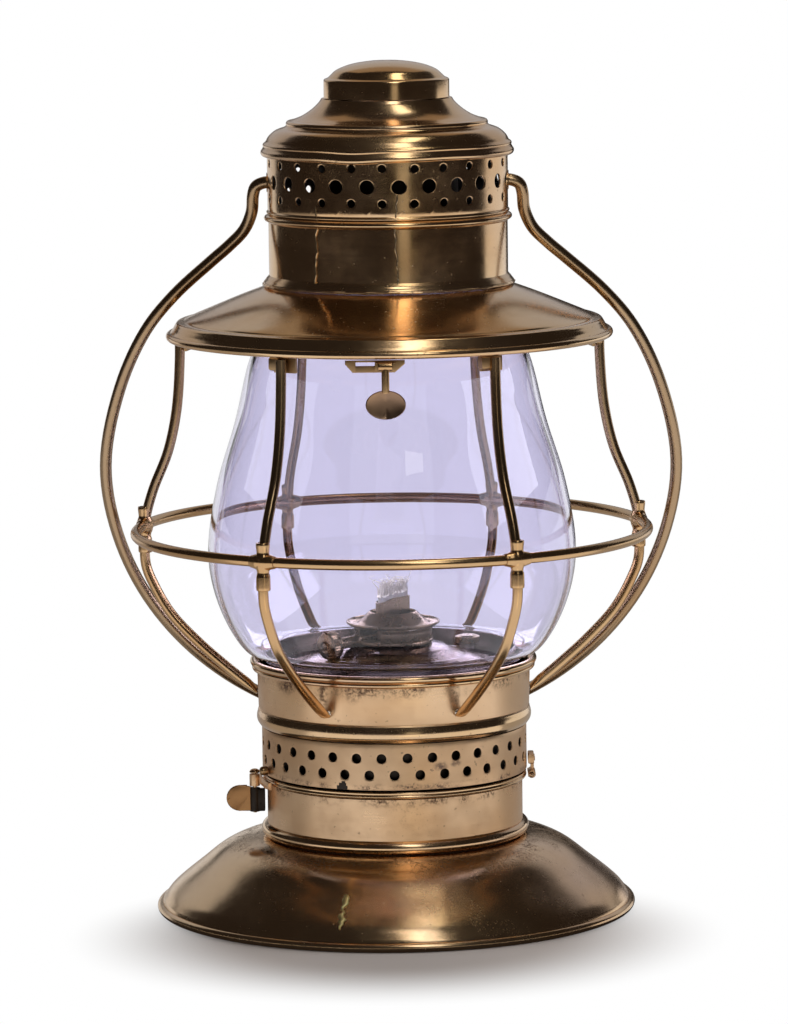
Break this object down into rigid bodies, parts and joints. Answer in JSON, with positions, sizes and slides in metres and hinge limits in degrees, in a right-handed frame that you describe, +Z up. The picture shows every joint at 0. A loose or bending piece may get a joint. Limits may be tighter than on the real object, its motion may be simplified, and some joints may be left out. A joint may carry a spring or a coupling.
{
  "type": "brass oil hand lantern",
  "caption": "Brass oil lantern with a flared bell base, wire-guarded glass globe, pierced vent chimney with domed hood, hinged top and a swinging wire bail.",
  "frame": {"origin": "centre of the bottom rim, on the surface the lantern stands on", "axes": "+Z up through the globe and crown, -Y towards the front, where the lid latch is, +X to the right, where the base hinge is"},
  "size_m": [0.1944, 0.1728, 0.2812],
  "materials": {
    "polished_brass": "polished, lightly tarnished",
    "satin_brass": "satin, fine turning marks",
    "aged_brass": "dull, darkened with age",
    "clear_glass": "clear",
    "cotton": "woven, frayed at the top"
  },
  "bodies": {
    "base": {"base_bell": "polished_brass", "base_band": "satin_brass", "seam_bead": "polished_brass", "fount": "aged_brass", "filler_neck": "aged_brass", "burner_collar": "aged_brass", "burner_cone": "aged_brass", "wick_tube": "aged_brass", "base_hinge_staple": "polished_brass", "base_latch_mount": "satin_brass", "base_latch_pin": "satin_brass"},
    "filler_cap": {"filler_cap": "polished_brass"},
    "wick_drive": {"wick_shaft": "aged_brass", "wick_knob": "aged_brass"},
    "wick": {"wick": "cotton"},
    "base_latch": {"base_latch_lever": "aged_brass"},
    "cage": {"vent_band": "satin_brass", "globe_collar": "satin_brass", "globe_seat": "aged_brass", "globe": "clear_glass", "top_hoop": "polished_brass", "guard_ring": "polished_brass", "upper_guard_wire_1": "polished_brass", "lower_guard_wire_1": "polished_brass", "cross_sleeve_1": "polished_brass", "upper_guard_wire_2": "polished_brass", "lower_guard_wire_2": "polished_brass", "cross_sleeve_2": "polished_brass", "upper_guard_wire_3": "polished_brass", "lower_guard_wire_3": "polished_brass", "cross_sleeve_3": "polished_brass", "upper_guard_wire_4": "polished_brass", "lower_guard_wire_4": "polished_brass", "cross_sleeve_4": "polished_brass", "upper_guard_wire_5": "polished_brass", "lower_guard_wire_5": "polished_brass", "cross_sleeve_5": "polished_brass", "upper_guard_wire_6": "polished_brass", "lower_guard_wire_6": "polished_brass", "cross_sleeve_6": "polished_brass", "base_hinge_hook": "polished_brass", "base_latch_stud": "aged_brass", "lid_latch_bracket": "aged_brass", "lid_hinge_hoop_leaf": "polished_brass"},
    "lid_latch": {"lid_latch_lever": "aged_brass"},
    "top": {"brim": "polished_brass", "chimney": "polished_brass", "vent_hood": "polished_brass", "crown_cap": "polished_brass", "globe_retainer": "aged_brass", "lid_hinge_brim_leaf": "polished_brass", "lid_hinge_pin": "polished_brass"},
    "bail_bushes": {"bail_bush_left": "polished_brass", "bail_bush_right": "polished_brass"},
    "bail": {"bail": "polished_brass"}
  },
  "joints": [
    {"name": "base_hinge", "type": "hinge", "parent": "base", "child": "cage", "pos_m": [0.0455, 0, 0.0442], "axis": [0, 1, 0], "range_deg": [0, 80]},
    {"name": "lid_hinge", "type": "hinge", "parent": "cage", "child": "top", "pos_m": [0, 0.0754, 0.1876], "axis": [-1, 0, 0], "range_deg": [0, 100]},
    {"name": "bail_level", "type": "hinge", "parent": "top", "child": "bail_bushes", "pos_m": [0, 0, 0.2416], "axis": [-1, 0, 0], "range_deg": [-100, 0]},
    {"name": "bail_swing", "type": "hinge", "parent": "bail_bushes", "child": "bail", "pos_m": [0, 0, 0.2416], "axis": [1, 0, 0], "range_deg": [0, 330]},
    {"name": "lid_latch_press", "type": "hinge", "parent": "cage", "child": "lid_latch", "pos_m": [-0.0014, -0.0731, 0.188], "axis": [1, 0, 0], "range_deg": [0, 12], "stiffness_Nm_per_rad": 0.05},
    {"name": "base_latch_turn", "type": "hinge", "parent": "base", "child": "base_latch", "pos_m": [-0.0466, 0, 0.038], "axis": [0, 0, 1], "range_deg": [0, 50]},
    {"name": "wick_turn", "type": "hinge", "parent": "base", "child": "wick_drive", "pos_m": [-0.00301, 0.00334, 0.0902], "axis": [-0.7427, -0.6687, -0.0349], "range_deg": [-102, 152]},
    {"name": "wick_slide", "type": "slide", "parent": "base", "child": "wick", "axis": [0, 0, 1], "range_m": [-0.0039, 0.0058]},
    {"name": "filler_turn", "type": "hinge", "parent": "base", "child": "filler_cap", "pos_m": [0.025, 0.016, 0.0868], "axis": [0, 0, 1], "range_deg": [0, 180]}
  ],
  "couplings": [
    {"joint": "bail_level", "follows": "lid_hinge", "ratio": -1},
    {"joint": "wick_turn", "follows": "wick_slide", "rad_per_m": 454.5}
  ]
}
